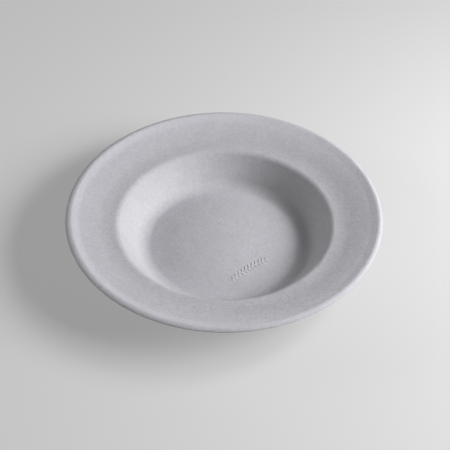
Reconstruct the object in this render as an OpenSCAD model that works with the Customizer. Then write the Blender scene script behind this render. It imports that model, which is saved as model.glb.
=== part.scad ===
// Rimmed soup plate, pressed in one piece from plant fibre pulp.
// Its upper face is one smooth line of arcs and straight runs, turned about the Z axis.
// Its lower face is the same line, one sheet thickness below it.
// The origin is at the middle of the foot, in the plane that the plate stands on, with +Z up.

/* [Plate] */
// Overall diameter, over the outer edge
plate_d = 240; // [236:1:250]
// Overall height, from the table to the crest of the rim
plate_h = 36.5; // [32:0.5:42]
// Thickness of the pressed sheet
sheet_t = 0.9; // [0.6:0.1:1.4]

/* [Well] */
// Diameter of the ring that the plate stands on
foot_d = 117.6; // [100:0.2:124]
// Depth by which the underside of that ring is pressed flat
foot_press = 0.2; // [0.1:0.05:0.3]
// Rise of the domed floor, from the ring to its middle
dome_rise = 4.1; // [1:0.1:5]
// Radius between the floor and the wall of the well
foot_r = 12; // [6:0.5:14]
// Diameter at which the lines of the wall and of the rim cross
well_d = 163; // [150:0.2:164]
// Radius over the edge of the well
well_edge_r = 6.5; // [2:0.5:7]

/* [Rim] */
// Slope of the rim beside the well, in degrees from level
rim_slope_in = 8.5; // [7:0.5:12]
// Slope of the middle of the rim, in degrees from level
rim_slope_mid = 21; // [15:0.5:22]
// Width of the flatter band beside the well, to where the lines of those two slopes cross
ledge_w = 10; // [7.8:0.1:12]
// Radius between those two slopes
rim_bend_r = 50; // [30:5:60]

/* [Edge] */
// Slope of the rim just inside its crest, in degrees from level
edge_slope_in = 26; // [24:0.5:32]
// Width of the band from that steeper slope's start to the outer edge
edge_w = 9.2; // [8:0.1:12]
// Radius where the rim grows steeper
edge_bend_r = 20; // [10:1:30]
// Width of the turned-down edge, from the corner under the crest outwards
lip_w = 2.7; // [2.6:0.1:5]
// Slope of the turned-down edge, in degrees from level
lip_slope = 30; // [20:1:45]
// Radius over the crest
crest_r = 3.9; // [2:0.1:4]

/* [Hidden] */

plate_color = [0.71, 0.71, 0.73];
turn_steps = 180;
arc_step = 4;

function along(slope) = [cos(slope), sin(slope)];
function across(slope) = [-sin(slope), cos(slope)];

// Points of an arc from one slope to another, each kept with its slope.
// The arc bends up where the slope grows and down where it falls.
function bend(from, to) = to > from ? 1 : -1;
function steps(from, to) = max(2, ceil(abs(to - from) / arc_step));
function arc(mid, r, from, to, first = 0) = let (n = steps(from, to))
    [for (i = [first:n]) let (s = from + (to - from) * i / n)
        [mid - bend(from, to) * r * across(s), s]];

// The arc that rounds the corner between two straight runs, and the length it takes from each
function corner_run(r, from, to) = r * tan(abs(to - from) / 2);
function rounded(corner, r, from, to) =
    arc(corner - corner_run(r, from, to) * along(from) + bend(from, to) * r * across(from),
        r, from, to);

// The floor and its ring make one S-shaped line, level in the middle and level at the ring
foot_rad = foot_d / 2;
ring_z = sheet_t - foot_press;
floor_slope = 2 * atan(dome_rise / foot_rad);
dome_r = foot_rad / sin(floor_slope) - foot_r;
dome_mid = [0, ring_z + dome_rise - dome_r];
foot_mid = [foot_rad, ring_z + foot_r];

// The corners of the rim, from the crest inwards. The crest's arc stays below its corner.
plate_rad = plate_d / 2;
crest_turn = edge_slope_in + lip_slope;
crest_cut = crest_r * (cos(edge_slope_in) + sin(edge_slope_in) * tan(crest_turn / 2) - 1);
function next_corner(corner, rad, slope) = [rad, corner.y - (corner.x - rad) * tan(slope)];
crest_corner = [plate_rad - lip_w, plate_h + crest_cut];
edge_corner = next_corner(crest_corner, plate_rad - edge_w, edge_slope_in);
bend_corner = next_corner(edge_corner, well_d / 2 + ledge_w, rim_slope_mid);
well_corner = next_corner(bend_corner, well_d / 2, rim_slope_in);

// The wall runs from the corner at the edge of the well and touches the arc at the foot
wall_run = well_corner - foot_mid;
wall_slope = atan2(wall_run.y, wall_run.x) + asin(foot_r / norm(wall_run));

// The sheet ends in a half round, one thickness across, that just reaches the outer diameter
tip_r = sheet_t / 2;
tip_rad = plate_rad - tip_r;
tip_top = next_corner(crest_corner, tip_rad + tip_r * sin(lip_slope), -lip_slope);
tip_mid = tip_top - tip_r * across(-lip_slope);

// The line from the foot to the tip: its corners, their radii and the slopes between them.
// A radius is as wanted where the straight runs beside it are long enough for it.
corners = [well_corner, bend_corner, edge_corner, crest_corner];
radii = [well_edge_r, rim_bend_r, edge_bend_r, crest_r];
slopes = [wall_slope, rim_slope_in, rim_slope_mid, edge_slope_in, -lip_slope];
wall_foot = foot_mid - foot_r * across(wall_slope);
stops = concat([wall_foot], corners, [tip_top]);
last_corner = len(corners) - 1;
function wanted_run(i) = i < 0 || i > last_corner ? 0
    : corner_run(radii[i], slopes[i], slopes[i + 1]);
function room(i) = norm(stops[i + 1] - stops[i]) / (wanted_run(i - 1) + wanted_run(i));
function fitting_r(i) = radii[i] * min(1, room(i), room(i + 1));

upper = concat(
    arc(dome_mid, dome_r, 0, -floor_slope),
    arc(foot_mid, foot_r, -floor_slope, wall_slope, 1),
    [for (i = [0:last_corner])
        each rounded(corners[i], fitting_r(i), slopes[i], slopes[i + 1])]
);
tip = arc(tip_mid, tip_r, -lip_slope, -lip_slope - 180);
lower = [for (p = upper) p[0] - sheet_t * across(p[1])];

// The flat under the ring ends where the table's plane cuts the round of the foot,
// or the dome where the flat is wider than that round
under_foot_r = foot_r + sheet_t;
under_dome_r = dome_r - sheet_t;
foot_angle = acos(foot_mid.y / under_foot_r);
flat_out = foot_rad + under_foot_r * sin(foot_angle);
flat_in = foot_angle < floor_slope
    ? foot_rad - under_foot_r * sin(foot_angle)
    : sqrt(pow(under_dome_r, 2) - pow(dome_mid.y, 2));
under_floor = [for (p = lower) if (p.x < flat_in) p];
under_rim = [for (p = lower) if (p.x > flat_out) p];

module section() {
    polygon(concat(
        [for (p = upper) p[0]],
        [for (p = tip) p[0]],
        [for (i = [len(under_rim) - 1:-1:0]) under_rim[i]],
        [[flat_out, 0], [flat_in, 0]],
        [for (i = [len(under_floor) - 1:-1:0]) under_floor[i]]
    ));
}

module plate() {
    color(plate_color)
    rotate_extrude($fn = turn_steps)
    section();
}

plate();
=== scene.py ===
import math

import bpy
import mathutils
import numpy as np
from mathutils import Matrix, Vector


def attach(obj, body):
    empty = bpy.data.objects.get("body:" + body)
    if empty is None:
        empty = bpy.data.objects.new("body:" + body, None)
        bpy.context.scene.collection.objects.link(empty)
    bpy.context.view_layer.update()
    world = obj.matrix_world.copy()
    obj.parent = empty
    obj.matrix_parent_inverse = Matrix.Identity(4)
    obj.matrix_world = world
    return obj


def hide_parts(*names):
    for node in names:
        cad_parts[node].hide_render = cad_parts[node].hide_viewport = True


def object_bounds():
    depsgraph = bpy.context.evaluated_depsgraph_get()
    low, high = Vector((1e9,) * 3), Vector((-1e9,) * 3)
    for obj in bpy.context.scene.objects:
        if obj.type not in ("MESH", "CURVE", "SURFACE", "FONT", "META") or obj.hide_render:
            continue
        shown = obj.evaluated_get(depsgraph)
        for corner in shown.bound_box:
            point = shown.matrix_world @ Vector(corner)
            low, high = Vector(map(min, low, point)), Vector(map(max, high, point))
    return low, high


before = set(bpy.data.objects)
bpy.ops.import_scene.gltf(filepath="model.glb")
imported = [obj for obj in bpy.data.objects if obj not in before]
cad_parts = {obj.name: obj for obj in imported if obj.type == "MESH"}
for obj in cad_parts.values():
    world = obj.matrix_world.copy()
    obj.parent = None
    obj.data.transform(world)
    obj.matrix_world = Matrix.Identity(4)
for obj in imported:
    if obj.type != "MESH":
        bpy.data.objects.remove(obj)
cadLow, cadHigh = [list(corner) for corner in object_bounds()]

# Rimmed soup plate of pressed plant fibre, in metres, standing on its foot ring at the origin.
mm = 0.001
plateRadius = (cadHigh[0] - cadLow[0] + cadHigh[1] - cadLow[1]) / 4
plateHeight = cadHigh[2] - cadLow[2]


# Section of the sheet

sheet = {
    "thickness": 0.9 * mm,
    "footRadius": 58.8 * mm,      # middle of the ring that the plate stands on
    "footPress": 0.2 * mm,        # how deep that ring is pressed flat
    "domeRise": 4.1 * mm,         # middle of the floor above the ring
    "footBend": 12 * mm,          # radius between floor and wall
    "wellRadius": 81.5 * mm,      # where the lines of wall and rim cross
    "wellBend": 6.5 * mm,
    "slopeIn": 8.5,               # slope of the rim in degrees, beside the well,
    "slopeMid": 21,               # in its middle
    "slopeOut": 26,               # and inside the crest
    "ledgeWidth": 10 * mm,        # from the well's edge to where the first two of those cross
    "bendRound": 50 * mm,
    "edgeWidth": 9.2 * mm,        # from the steeper slope's start to the outer edge
    "edgeRound": 20 * mm,
    "lipWidth": 2.7 * mm,
    "lipSlope": 30,
    "crestRound": 3.9 * mm,
    "inset": 0.25 * mm,           # room for the unevenness inside the overall size
    "rowGap": 1.0 * mm,           # widest gap between two rows of the grid,
    "rowTurn": 4.5,               # and the most that the slope changes between them
    "underRowGap": 2.0 * mm,
    "underRowTurn": 9,
    "sprigRows": (31 * mm, 47 * mm, 0.30 * mm),   # from and to which radius rows lie closer, and their gap
    "stepSlack": 0.01,            # a run this much over a whole number of steps takes no further step
}


def along(slope):
    # unit vector that runs outwards at a slope in degrees
    return np.array([math.cos(math.radians(slope)), math.sin(math.radians(slope))])


def across(slope):
    # unit vector square to it, on the upper side
    return np.array([-math.sin(math.radians(slope)), math.cos(math.radians(slope))])


def rounded(corner, radius, first, last):
    # middle = corner - run * along(first) + or - radius * across(first), run = radius * tan(half the turn)
    bend = 1 if last > first else -1
    run = radius * math.tan(math.radians(abs(last - first) / 2))
    middle = corner - run * along(first) + bend * radius * across(first)
    return middle, radius, first, last


def nextCorner(corner, radius, slope):
    # the point at another radius on the line through the corner: height - (distance inwards) * tan(slope)
    return np.array([radius, corner[1] - (corner[0] - radius) * math.tan(math.radians(slope))])


def sectionArcs(s, outerRadius, height):
    # the arcs of the upper face from the middle of the floor to the lip, then the half round of the tip
    ringHeight = s["thickness"] - s["footPress"]
    floorSlope = 2 * math.degrees(math.atan(s["domeRise"] / s["footRadius"]))
    domeBend = s["footRadius"] / math.sin(math.radians(floorSlope)) - s["footBend"]
    footMiddle = np.array([s["footRadius"], ringHeight + s["footBend"]])
    slopeOut = math.radians(s["slopeOut"])
    halfTurn = math.radians(s["slopeOut"] + s["lipSlope"]) / 2
    crestCut = s["crestRound"] * (math.cos(slopeOut) + math.sin(slopeOut) * math.tan(halfTurn) - 1)
    crest = np.array([outerRadius - s["lipWidth"], height + crestCut])
    edge = nextCorner(crest, outerRadius - s["edgeWidth"], s["slopeOut"])
    bend = nextCorner(edge, s["wellRadius"] + s["ledgeWidth"], s["slopeMid"])
    well = nextCorner(bend, s["wellRadius"], s["slopeIn"])
    wall = well - footMiddle
    wallSlope = math.degrees(math.atan2(wall[1], wall[0]) + math.asin(s["footBend"] / np.hypot(*wall)))
    tipRound = s["thickness"] / 2
    tipReach = outerRadius - tipRound + tipRound * math.sin(math.radians(s["lipSlope"]))
    tipTop = nextCorner(crest, tipReach, -s["lipSlope"])
    return [
        (np.array([0, ringHeight + s["domeRise"] - domeBend]), domeBend, 0, -floorSlope),
        (footMiddle, s["footBend"], -floorSlope, wallSlope),
        rounded(well, s["wellBend"], wallSlope, s["slopeIn"]),
        rounded(bend, s["bendRound"], s["slopeIn"], s["slopeMid"]),
        rounded(edge, s["edgeRound"], s["slopeMid"], s["slopeOut"]),
        rounded(crest, s["crestRound"], s["slopeOut"], -s["lipSlope"]),
        (tipTop - tipRound * across(-s["lipSlope"]), tipRound, -s["lipSlope"], -s["lipSlope"] - 180),
    ]


def arcPoints(middle, radius, first, last, gap, turn):
    # point = middle - or + radius * (-sin slope, cos slope), as the slope goes evenly from first to last
    bend = 1 if last > first else -1
    count = math.ceil(max(math.radians(abs(last - first)) * radius / gap, abs(last - first) / turn))
    slope = np.linspace(first, last, count + 1)
    angle = np.radians(slope)
    return np.column_stack([middle[0] + bend * radius * np.sin(angle),
                            middle[1] - bend * radius * np.cos(angle), slope])


def sectionLine(arcs, gap, turn):
    # the arcs joined by straight runs, each run cut into steps no longer than the gap
    parts = [arcPoints(*arcs[0], gap, turn)]
    for arc in arcs[1:]:
        nextPart = arcPoints(*arc, gap, turn)
        start, end = parts[-1][-1], nextPart[0]
        count = math.ceil(np.hypot(*(end - start)[:2]) / gap - sheet["stepSlack"])
        if count > 1:
            parts.append(start + (end - start) * np.linspace(0, 1, count + 1)[1:-1, None])
        parts.append(nextPart[1 if count < 1 else 0:])
    return np.concatenate(parts)


def withCloseRows(line, rows):
    # between the two radii, rows at an even closer gap, taken from the line itself
    start, end, gap = rows
    close = np.arange(start, end, gap)
    inner, outer = line[line[:, 0] < start - gap / 2], line[line[:, 0] > end]
    picked = np.column_stack([close] + [np.interp(close, line[:, 0], line[:, i]) for i in (1, 2)])
    return np.concatenate([inner, picked, outer])


def plateSection(s):
    # closed from pole to pole: upper face, tip, and the lower face one thickness below the upper
    arcs = sectionArcs(s, plateRadius - s["inset"], plateHeight - s["inset"])
    upper = withCloseRows(sectionLine(arcs[:-1], s["rowGap"], s["rowTurn"]), s["sprigRows"])
    tip = sectionLine(arcs[-1:], s["rowGap"], s["underRowTurn"])
    lower = sectionLine(arcs[:-1], s["underRowGap"], s["underRowTurn"])[::-1]
    angle = np.radians(lower[:, 2])
    under = lower[:, :2] - s["thickness"] * np.column_stack([-np.sin(angle), np.cos(angle)])
    under[:, 1] = np.maximum(under[:, 1], 0)
    # the share of each point tells the upper face, 1, from the lower, 0
    line = np.concatenate([upper[:, :2], tip[1:-1, :2], under])
    share = np.concatenate([np.ones(len(upper)), np.linspace(1, 0, len(tip) - 2), np.zeros(len(under))])
    return line, share, len(upper)


section, upperShare, upperCount = plateSection(sheet)
print("section has", len(section), "rows,", upperCount, "of them on top")


# The plate

plate = {
    "columns": 340,
    "closeColumns": 2.6,          # how much closer the columns stand beside the raised sprig
    "closeSpread": 30,            # half width of that stretch in degrees
    "tableSteps": 4000,           # fineness of the table that the columns' places are read from
    "slide": (0.75 * mm, 0.25 * mm),   # how far the pressed form lies off the middle of the trimmed edge,
    "slideBand": 3,               # fading out over a band at the edge, in thicknesses
    "warp": 0.16 * mm,            # slow waves of the rim, from drying
    "warpWaves": ((2, 0.9, 40), (3, 0.5, 115), (5, 0.22, 10)),   # how many waves, share, turn in degrees
    "ripple": 0.012 * mm,         # pillowy unevenness of the pressed faces
    "rippleSize": 11 * mm,
    "edgeWear": 0.05 * mm,        # raggedness of the trimmed edge,
    "edgeWearSize": 14 * mm,
    "edgeBand": 2,                # over this band, in thicknesses
    "seed": 7,
}
sprig = {
    "middle": (19.2 * mm, -29.5 * mm),
    "turn": 38,                   # direction of its stem in degrees, seen from above
    "length": 37 * mm,
    "sag": 1.2 * mm,              # how far the stem's ends bend back
    "stemWidth": 0.8 * mm,
    "stemTaper": 0.1,             # share of each half of the stem that thins out at its end
    "stemHeight": 0.8,            # as a share of the leaves' height
    "leaves": 11,                 # on each side, in turn
    "leafFirst": 0.15,            # where they begin, and how far the sides differ from it, in gaps
    "leafShift": 0.25,
    "leafSpare": 0.5,             # what the stem is longer than the leaves need, in gaps
    "leafLength": 4.0 * mm,       # in the middle; they grow shorter towards the ends
    "shorten": 0.45,
    "leafMiddle": 1.1,            # distance of a leaf's middle from the stem, in half lengths
    "leafWidth": 1.4 * mm,
    "leafLean": 52,               # degrees between leaf and stem
    "height": 0.48 * mm,
}


def columnAngles(p):
    # turn(u) runs once round while its speed is 1 / (1 + closeness * exp(-(distance / spread)^2))
    middle = math.atan2(sprig["middle"][1], sprig["middle"][0])
    fine = np.linspace(-math.pi, math.pi, p["tableSteps"] + 1)
    density = 1 + p["closeColumns"] * np.exp(-(np.degrees(fine) / p["closeSpread"]) ** 2)
    steps = np.concatenate([[0], np.cumsum((density[1:] + density[:-1]) / 2)])
    return middle + np.interp(np.arange(p["columns"]) / p["columns"], steps / steps[-1], fine)


def waveField(x, y, size, seed, count=60, spread=0.35):
    # sum of sine waves in all directions, of lengths round the given size, with a variance near 1
    rng = np.random.default_rng(seed)
    direction = rng.uniform(0, 2 * math.pi, count)
    number = 2 * math.pi / (size * np.exp(rng.normal(0, spread, count)))
    phase = rng.uniform(0, 2 * math.pi, count)
    total = np.zeros_like(x)
    for d, k, p in zip(direction, number, phase):
        total += np.sin(k * (x * math.cos(d) + y * math.sin(d)) + p)
    return total * math.sqrt(2 / count)


def mound(u, v):
    # rounded hill over the unit circle: (1 - u^2 - v^2) ^ 0.5
    return np.sqrt(np.clip(1 - u ** 2 - v ** 2, 0, 1))


def sprigRelief(x, y, p):
    # a and b run along and across the stem, which bends as sag * (2 a / length)^2; each leaf is a mound
    # whose own u and v run along and across it
    turn = math.radians(p["turn"])
    a = (x - p["middle"][0]) * math.cos(turn) + (y - p["middle"][1]) * math.sin(turn)
    b = (y - p["middle"][1]) * math.cos(turn) - (x - p["middle"][0]) * math.sin(turn)
    b = b + p["sag"] * (2 * a / p["length"]) ** 2
    half = p["length"] / 2
    taper = half * p["stemTaper"]
    ends = np.clip(np.abs(a) - half * (1 - p["stemTaper"]), 0, None) / taper
    total = p["stemHeight"] * mound(ends, b / (p["stemWidth"] / 2))
    gap = p["length"] / (p["leaves"] + p["leafSpare"])
    for side in (-1, 1):
        lean = side * math.radians(p["leafLean"])
        for i in range(p["leaves"]):
            foot = gap * (i + p["leafFirst"] + p["leafShift"] * side) - half
            length = p["leafLength"] * (1 - p["shorten"] * (foot / half) ** 2)
            alongLeaf = (a - foot) * math.cos(lean) + b * math.sin(lean)
            acrossLeaf = b * math.cos(lean) - (a - foot) * math.sin(lean)
            leaf = mound(2 * alongLeaf / length - p["leafMiddle"], 2 * acrossLeaf / p["leafWidth"])
            total = np.maximum(total, leaf)
    return total * p["height"]


def plateSurface(p, line, share):
    # (angle, row) -> (radius * cos, radius * sin, height), the section turned about Z, then made uneven
    angle = columnAngles(p)
    radius, height = line[:, 0], line[:, 1]
    outward = np.clip((radius - sheet["footRadius"]) / (plateRadius - sheet["footRadius"]), 0, 1)
    a, r = np.meshgrid(angle, radius)
    z = np.repeat(height[:, None], len(angle), 1)
    warp = sum(part * np.cos(waves * (a - math.radians(turn))) for waves, part, turn in p["warpWaves"])
    x = r * np.cos(a)
    y = r * np.sin(a)
    topShare = share[:, None]
    ripple = waveField(x, y, p["rippleSize"], p["seed"])
    rippleUnder = waveField(x, y, p["rippleSize"], p["seed"] + 1)
    unevenness = p["warp"] * warp * outward[:, None] ** 2
    unevenness = unevenness + p["ripple"] * (ripple * topShare + rippleUnder * (1 - topShare))
    # 0 on the flat under the foot, which stays level, and 1 from one thickness up
    standing = np.clip(height / sheet["thickness"], 0, 1)[:, None]
    z = z + unevenness * standing
    z = z + sprigRelief(x, y, sprig) * topShare
    # 1 at the trimmed edge, and 0 from the band's width inwards; the slide is full where its own band ends
    nearTip = np.clip(1 - (plateRadius - r) / (p["edgeBand"] * sheet["thickness"]), 0, 1)
    slide = np.clip((plateRadius - r) / (p["slideBand"] * sheet["thickness"]), 0, 1)
    wear = waveField(np.cos(a) * plateRadius, np.sin(a) * plateRadius, p["edgeWearSize"], p["seed"] + 2)
    r = r + p["edgeWear"] * wear * nearTip
    x = r * np.cos(a) + p["slide"][0] * slide
    y = r * np.sin(a) + p["slide"][1] * slide
    return np.stack([x, y, z], -1), {"upperSide": share, "trimEdge": nearTip[:, 0]}


def closedGrid(name, points, rowShares):
    # rows run from the upper pole to the lower pole, columns go round; each pole is one vertex
    rows, columns = points.shape[0] - 2, points.shape[1]
    top, bottom = points[0].mean(0), points[-1].mean(0)
    vertices = np.concatenate([[top], points[1:-1].reshape(-1, 3), [bottom]])
    # vertex number = 1 + row * columns + column
    i, j = np.meshgrid(np.arange(rows - 1), np.arange(columns), indexing="ij")
    k = (j + 1) % columns
    here, below = 1 + i * columns, 1 + (i + 1) * columns
    quads = np.stack([here + j, below + j, below + k, here + k], -1)
    around = np.arange(columns)
    after = (around + 1) % columns
    cap = np.stack([np.zeros(columns, int), 1 + around, 1 + after], -1)
    base = 1 + (rows - 1) * columns
    foot = np.stack([np.full(columns, len(vertices) - 1), base + after, base + around], -1)
    loops = np.concatenate([quads.reshape(-1), cap.reshape(-1), foot.reshape(-1)])
    counts = np.concatenate([np.full(quads.size // 4, 4), np.full(2 * columns, 3)])
    mesh = bpy.data.meshes.new(name)
    mesh.vertices.add(len(vertices))
    mesh.vertices.foreach_set("co", vertices.astype(np.float32).reshape(-1))
    mesh.loops.add(len(loops))
    mesh.loops.foreach_set("vertex_index", loops.astype(np.int32))
    starts = np.concatenate([[0], np.cumsum(counts)[:-1]])
    mesh.polygons.add(len(counts))
    mesh.polygons.foreach_set("loop_start", starts.astype(np.int32))
    mesh.polygons.foreach_set("loop_total", counts.astype(np.int32))
    mesh.polygons.foreach_set("use_smooth", np.ones(len(counts), bool))
    mesh.update(calc_edges=True)
    mesh.validate()
    # one value for each row, for the material to read
    for label, share in rowShares.items():
        values = np.concatenate([share[:1], np.repeat(share[1:-1], columns), share[-1:]])
        attribute = mesh.attributes.new(label, "FLOAT", "POINT")
        attribute.data.foreach_set("value", values.astype(np.float32))
    piece = bpy.data.objects.new(name, mesh)
    bpy.context.collection.objects.link(piece)
    return piece


platePiece = closedGrid("pulp_plate", *plateSurface(plate, section, upperShare))
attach(platePiece, "root")
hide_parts("plate")
print("plate has", len(platePiece.data.polygons), "faces")


# The pulp

pulp = {
    "color": (0.467, 0.462, 0.497),
    "wallPaintedTint": (0.467, 0.462, 0.484),        # the wall of the well is a little less blue, a painted tint of the light bounced in the well, most of all at this radius, within this half width
    "wallRing": (71 * mm, 17 * mm),            # most of all at this radius, within this half width
    "roughness": (0.96, 0.84),                 # at the first and at the second of the tones below,
    "roughnessTones": (0.94, 1.06),            # and even between them
    "specular": 0.25,
    # size in metres, change of the tone as a share, height in metres, amount of finer detail
    "clouds": (14 * mm, 0.030, 0.0, 2),
    "clumps": (2.6 * mm, 0.060, 0.055 * mm, 3),
    "grain": (0.9 * mm, 0.070, 0.016 * mm, 2),
    "finerShare": 0.55,                        # how strong each finer layer of a noise is
    "fibreTurns": (12, 57, 103, 148),          # degrees
    "fibreLength": 3.4 * mm,
    "fibreWidth": 0.22 * mm,
    "fibreCrest": (0.60, 0.76),                # a fibre starts and is full at these values of its noise
    "fibreBend": 1.6 * mm,                     # how far fibres are bent aside,
    "fibreBends": 0.6,                         # and how often in the length of one
    "fibreTone": 0.07,                         # every second direction is darker instead of paler
    "fibreHeight": 0.024 * mm,
    "meshPitch": 0.85 * mm,                    # imprint of the forming screen, deeper underneath
    "meshHeight": (0.003 * mm, 0.022 * mm),    # on the upper and on the lower face
    # rings of paler or greyer tone: radius, half width, change of the tone as a share; the ring inside the
    # crest is a painted highlight, the ring over the inner rim is painted shade, and the ring by the foot
    # is paler
    "toneAndPaintedLightRings": ((56 * mm, 9 * mm, 0.05), (90 * mm, 18 * mm, -0.07), (114 * mm, 8 * mm, 0.11)),
    # the side where clouds and clumps are stronger: direction in degrees, from and to how far from the
    # middle they grow, and by which share
    "roughSide": (285, 45 * mm, 95 * mm, 0.6),
    "smoothCrest": (118 * mm, 14 * mm),        # ring that this leaves out: radius and half width, as in the rings of tone above
    "wallCalm": 0.15,                          # clouds, clumps and grain are this much weaker on the wall
    "trimTone": 0.05,                          # the trimmed edge is this much darker and
    "trimFuzz": 1.4,                           # its fibres stand out this much more
    "speckGap": 11 * mm,
    "speckless": 0.66,                         # share of the places that have none
    "speckSize": 0.28 * mm,                    # radius of the largest
    "speckGrowth": 3,                          # about 1 / (1 - speckless)
    "speckTone": 0.16,
    "darkSpeck": (-4.1 * mm, 17.4 * mm, 0.50 * mm),   # place and radius of the one that stands out
    "darkSpeckCore": 0.4,                      # share of its radius within which it is darkest
    "darkSpeckTone": 0.80,
}


def nodeTools(owner):
    tree = owner.node_tree
    tree.nodes.clear()

    def add(kind, inputs=None, **settings):
        node = tree.nodes.new(kind)
        for key, value in settings.items():
            setattr(node, key, value)
        for key, value in (inputs or {}).items():
            if isinstance(value, bpy.types.NodeSocket):
                tree.links.new(value, node.inputs[key])
            else:
                node.inputs[key].default_value = value
        return node

    def calc(operation, a, b=0.0, c=0.0):
        return add("ShaderNodeMath", {0: a, 1: b, 2: c}, operation=operation).outputs["Value"]

    return add, calc


def smoothRamp(add, value, start, end, most=1.0):
    # smoothstep: 0 where the value is at the start, and at its most where it is at the end
    ramp = add("ShaderNodeMapRange", {"Value": value, "From Min": start, "From Max": end, "To Max": most},
               interpolation_type="SMOOTHSTEP")
    return ramp.outputs["Result"]


def softRing(add, calc, radius, middle, width, most=1.0):
    # at its most at the middle radius, and 0 from the half width on: smoothRamp of |radius - middle|
    away = calc("ABSOLUTE", calc("SUBTRACT", radius, middle))
    return smoothRamp(add, away, width, 0.0, most)


def growingSide(add, place, turn, start, end, most):
    # smoothRamp of the distance from the middle in one direction, x * cos(turn) + y * sin(turn)
    way = (math.cos(math.radians(turn)), math.sin(math.radians(turn)), 0)
    distance = add("ShaderNodeVectorMath", {0: place, 1: way}, operation="DOT_PRODUCT").outputs["Value"]
    return smoothRamp(add, distance, start, end, most)


def levelLength(add, vector):
    # length of a vector without its height, (x^2 + y^2) ^ 0.5
    flat = add("ShaderNodeVectorMath", {0: vector, 1: (1, 1, 0)}, operation="MULTIPLY").outputs["Vector"]
    return add("ShaderNodeVectorMath", {0: flat}, operation="LENGTH").outputs["Value"]


def centredNoise(add, calc, vector, size, detail, finerShare, stretch=4.0):
    # noise of a given size, moved so that its middle is 0, and stretched to run from about -1 to 1
    noise = add("ShaderNodeTexNoise", {
        "Vector": vector, "Scale": 1 / size, "Detail": detail, "Roughness": finerShare})
    return calc("MULTIPLY_ADD", noise.outputs["Fac"], stretch, -stretch / 2)


def fibreLayer(add, place, p, turn):
    # long thin noise along one direction; only its crests count, so that single fibres lie apart, and the
    # location gives each direction its own part of the noise
    turned = add("ShaderNodeMapping", {
        "Vector": place, "Rotation": (0, 0, math.radians(turn)), "Location": (turn * mm, 0, turn * mm),
        "Scale": (p["fibreLength"], p["fibreWidth"], p["fibreWidth"])}, vector_type="TEXTURE")
    noise = add("ShaderNodeTexNoise", {"Vector": turned.outputs["Vector"], "Scale": 1.0, "Detail": 1.0})
    return smoothRamp(add, noise.outputs["Fac"], *p["fibreCrest"])


def meshImprint(add, calc, place, side, p):
    # product of two waves, |sin x| * |sin y|, as the wires of the forming screen leave it
    split = add("ShaderNodeSeparateXYZ", {"Vector": place})
    waves = [calc("SINE", calc("MULTIPLY", split.outputs[axis], math.pi / p["meshPitch"])) for axis in "XY"]
    knots = calc("MULTIPLY", calc("ABSOLUTE", waves[0]), calc("ABSOLUTE", waves[1]))
    upper, lower = p["meshHeight"]
    return calc("MULTIPLY", knots, calc("MULTIPLY_ADD", side, upper - lower, lower))


def specks(add, calc, place, p):
    # round dots in some cells of a loose net, radius = (cell's own number - speckless) * growth * size,
    # and the one that stands out
    cells = add("ShaderNodeTexVoronoi", {"Vector": place, "Scale": 1 / p["speckGap"]})
    pick = add("ShaderNodeSeparateColor", {"Color": cells.outputs["Color"]})
    over = calc("MAXIMUM", calc("SUBTRACT", pick.outputs["Red"], p["speckless"]), 0.0)
    radius = calc("MULTIPLY", over, p["speckGrowth"] * p["speckSize"] / p["speckGap"])
    dots = calc("MULTIPLY", calc("LESS_THAN", cells.outputs["Distance"], radius), p["speckTone"])
    x, y, size = p["darkSpeck"]
    near = add("ShaderNodeVectorMath", {0: place, 1: (x, y, 0)}, operation="SUBTRACT").outputs["Vector"]
    one = add("ShaderNodeMapRange", {
        "Value": levelLength(add, near), "From Min": size, "From Max": p["darkSpeckCore"] * size,
        "To Max": p["darkSpeckTone"]})
    return calc("ADD", dots, one.outputs["Result"])


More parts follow.
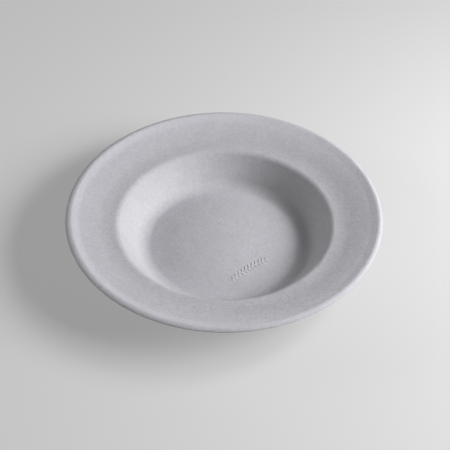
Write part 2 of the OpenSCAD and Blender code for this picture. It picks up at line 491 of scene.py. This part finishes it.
def pulpMaterial(p):
    # tone = 1 + rings (painted highlight inside the crest, painted shade over the inner rim) + mottle +
    # fibres - trimmed edge - specks, which the colour is multiplied by;
    # height = (mottle + fibres) * fuzz at the edge + imprint of the screen
    material = bpy.data.materials.new("pressedPulp")
    material.use_nodes = True
    add, calc = nodeTools(material)
    place = add("ShaderNodeTexCoord").outputs["Object"]
    side = add("ShaderNodeAttribute", attribute_name="upperSide").outputs["Fac"]
    trim = add("ShaderNodeAttribute", attribute_name="trimEdge").outputs["Fac"]
    radius = levelLength(add, place)
    tone = calc("MULTIPLY_ADD", trim, -p["trimTone"], 1.0)
    # the rings paint a highlight inside the crest and shade over the inner rim, and make a paler ring by
    # the foot
    for ring in p["toneAndPaintedLightRings"]:
        tone = calc("ADD", tone, softRing(add, calc, radius, *ring))
    wall = softRing(add, calc, radius, *p["wallRing"])
    offCrest = calc("SUBTRACT", 1.0, softRing(add, calc, radius, *p["smoothCrest"]))
    # strength of the mottle: fine = 1 - calm on the wall, coarse = fine + rough side off the crest
    fine = calc("MULTIPLY_ADD", wall, -p["wallCalm"], 1.0)
    coarse = calc("MULTIPLY_ADD", growingSide(add, place, *p["roughSide"]), offCrest, fine)
    height = 0.0
    for name, strength in (("clouds", coarse), ("clumps", coarse), ("grain", fine)):
        size, change, rise, detail = p[name]
        noise = centredNoise(add, calc, place, size, detail, p["finerShare"])
        noise = calc("MULTIPLY", noise, strength)
        tone = calc("MULTIPLY_ADD", noise, change, tone)
        height = calc("MULTIPLY_ADD", noise, rise, height)
    bend = add("ShaderNodeTexNoise", {
        "Vector": place, "Scale": p["fibreBends"] / p["fibreLength"], "Detail": 1.0})
    bent = add("ShaderNodeVectorMath", {0: bend.outputs["Color"], 1: (p["fibreBend"],) * 3, 2: place},
               operation="MULTIPLY_ADD").outputs["Vector"]
    for i, turn in enumerate(p["fibreTurns"]):
        fibre = fibreLayer(add, bent, p, turn)
        tone = calc("MULTIPLY_ADD", fibre, p["fibreTone"] * (1 if i % 2 else -1), tone)
        height = calc("MULTIPLY_ADD", fibre, p["fibreHeight"], height)
    height = calc("MULTIPLY", height, calc("MULTIPLY_ADD", trim, p["trimFuzz"] - 1, 1.0))
    height = calc("ADD", height, meshImprint(add, calc, place, side, p))
    tone = calc("SUBTRACT", tone, specks(add, calc, place, p))
    # the wall of the well takes a painted tint of the light bounced there
    colorWithPaintedTint = add("ShaderNodeMix", {
        "Factor": wall, "A": (*p["color"], 1), "B": (*p["wallPaintedTint"], 1)},
        data_type="RGBA").outputs["Result"]
    color = add("ShaderNodeVectorMath", {0: colorWithPaintedTint, "Scale": tone}, operation="SCALE").outputs["Vector"]
    rough = add("ShaderNodeMapRange", {
        "Value": tone, "From Min": p["roughnessTones"][0], "From Max": p["roughnessTones"][1],
        "To Min": p["roughness"][0], "To Max": p["roughness"][1]})
    bump = add("ShaderNodeBump", {"Height": height, "Distance": 1.0, "Strength": 1.0})
    shader = add("ShaderNodeBsdfPrincipled", {
        "Base Color": color, "Roughness": rough.outputs["Result"], "Normal": bump.outputs["Normal"],
        "Specular IOR Level": p["specular"]})
    add("ShaderNodeOutputMaterial", {"Surface": shader.outputs["BSDF"]})
    return material


platePiece.data.materials.append(pulpMaterial(pulp))
print("pulp has", len(pulp["fibreTurns"]), "layers of fibres and", len(pulp["toneAndPaintedLightRings"]), "rings")


# Stage, light and camera

stage = {
    "size": 3.0,
    "color": (0.40, 0.40, 0.40),       # as seen, with a little light of its own that lights nothing else
    "ownLight": 0.27,
    "fade": (0.42, 1.30),              # radii in metres between which it turns into the white background
    "bounce": (0.30, 0.30, 0.30),      # as it lights the plate from below
}
rig = {
    "worldColor": (1.0, 1.0, 1.0),
    "worldStrength": 0.02,
    "lamps": (
        # name, degrees round from +X, degrees up, distance and diameter in metres, watts, colour
        ("window", -12, 30, 1.40, 0.70, 21.7, (1, 1, 1)),
        ("lamp", 6, 40, 0.60, 0.22, 1.84, (1, 1, 1)),
        ("leftFill", 170, 12, 1.60, 0.90, 12.7, (1, 1, 0.98)),
    ),
}
photo = {
    "width": 450,
    "elevation": 43.43,
    "distance": 0.800,
    "aimHeight": 35.77 * mm,
    "pixelsPerMetre": 1319.0,     # at the aimed point
    "roll": 0.465,
    "aimPixel": (223.97, 209.83),
    "sensorWidth": 36,            # in the camera's own millimetres
    "nearest": 0.05,              # metres from which it sees
}


def seenRays(add, calc):
    # 1 where the camera sees something, directly, mirrored or through glass
    path = add("ShaderNodeLightPath").outputs
    direct = calc("MAXIMUM", path["Is Camera Ray"], path["Is Glossy Ray"])
    return calc("MAXIMUM", direct, path["Is Transmission Ray"])


def addStage(s):
    # a flat square floor: colour seen = colour * near, light of its own = near * (ownLight - 1) + 1, where
    # near falls from 1 to 0 over the fade
    mesh = bpy.data.meshes.new("floor")
    half = s["size"] / 2
    corners = [(-half, -half, 0), (half, -half, 0), (half, half, 0), (-half, half, 0)]
    mesh.from_pydata(corners, [], [(0, 1, 2, 3)])
    floor = bpy.data.objects.new("floor", mesh)
    bpy.context.collection.objects.link(floor)
    material = bpy.data.materials.new("paleFloor")
    material.use_nodes = True
    add, calc = nodeTools(material)
    seen = seenRays(add, calc)
    place = add("ShaderNodeTexCoord").outputs["Object"]
    radius = add("ShaderNodeVectorMath", {0: place}, operation="LENGTH").outputs["Value"]
    near = smoothRamp(add, radius, s["fade"][1], s["fade"][0])
    ownLight = calc("MULTIPLY_ADD", near, s["ownLight"] - 1, 1.0)
    shown = add("ShaderNodeVectorMath", {0: s["color"], "Scale": near}, operation="SCALE").outputs["Vector"]
    color = add("ShaderNodeMix", {"Factor": seen, "A": (*s["bounce"], 1), "B": shown}, data_type="RGBA")
    matt = add("ShaderNodeBsdfDiffuse", {"Color": color.outputs["Result"]})
    glow = add("ShaderNodeEmission", {"Strength": calc("MULTIPLY", seen, ownLight)})
    both = add("ShaderNodeAddShader", {0: matt.outputs["BSDF"], 1: glow.outputs["Emission"]})
    add("ShaderNodeOutputMaterial", {"Surface": both.outputs["Shader"]})
    mesh.materials.append(material)


def addLights(r):
    # the world looks white and gives hardly any light
    world = bpy.data.worlds.new("studio")
    world.use_nodes = True
    add, calc = nodeTools(world)
    strength = calc("MAXIMUM", seenRays(add, calc), r["worldStrength"])
    back = add("ShaderNodeBackground", {"Color": (*r["worldColor"], 1), "Strength": strength})
    add("ShaderNodeOutputWorld", {"Surface": back.outputs["Background"]})
    bpy.context.scene.world = world
    for name, turn, up, distance, size, watts, color in r["lamps"]:
        lamp = bpy.data.lights.new(name, "AREA")
        lamp.shape = "DISK"
        lamp.size = size
        lamp.energy = watts
        lamp.color = color
        around, up = math.radians(turn), math.radians(up)
        holder = bpy.data.objects.new(name, lamp)
        level = distance * math.cos(up)
        holder.location = (level * math.cos(around), level * math.sin(around), distance * math.sin(up))
        holder.rotation_euler = (math.pi / 2 - up, 0, around + math.pi / 2)   # faces the origin
        bpy.context.collection.objects.link(holder)


def addCamera(p):
    # aimed at the plate's axis from the front; the aimed point falls on aimPixel, because
    # shift = (aimPixel - middle of the picture) / width, to the right and down
    data = bpy.data.cameras.new("photoView")
    data.sensor_width = p["sensorWidth"]
    data.lens = data.sensor_width * p["pixelsPerMetre"] * p["distance"] / p["width"]
    data.shift_x = (p["width"] / 2 - p["aimPixel"][0]) / p["width"]
    data.shift_y = (p["aimPixel"][1] - p["width"] / 2) / p["width"]
    data.clip_start = p["nearest"]
    camera = bpy.data.objects.new("photoView", data)
    up = math.radians(p["elevation"])
    camera.location = (0, -p["distance"] * math.cos(up), p["aimHeight"] + p["distance"] * math.sin(up))
    tilt = mathutils.Matrix.Rotation(math.pi / 2 - up, 4, "X")
    roll = mathutils.Matrix.Rotation(math.radians(p["roll"]), 4, "Z")
    camera.rotation_euler = (tilt @ roll).to_euler()
    bpy.context.collection.objects.link(camera)
    bpy.context.scene.camera = camera


addStage(stage)
addLights(rig)
addCamera(photo)
bpy.context.scene.view_settings.view_transform = "Standard"
print("stage, light and camera set")
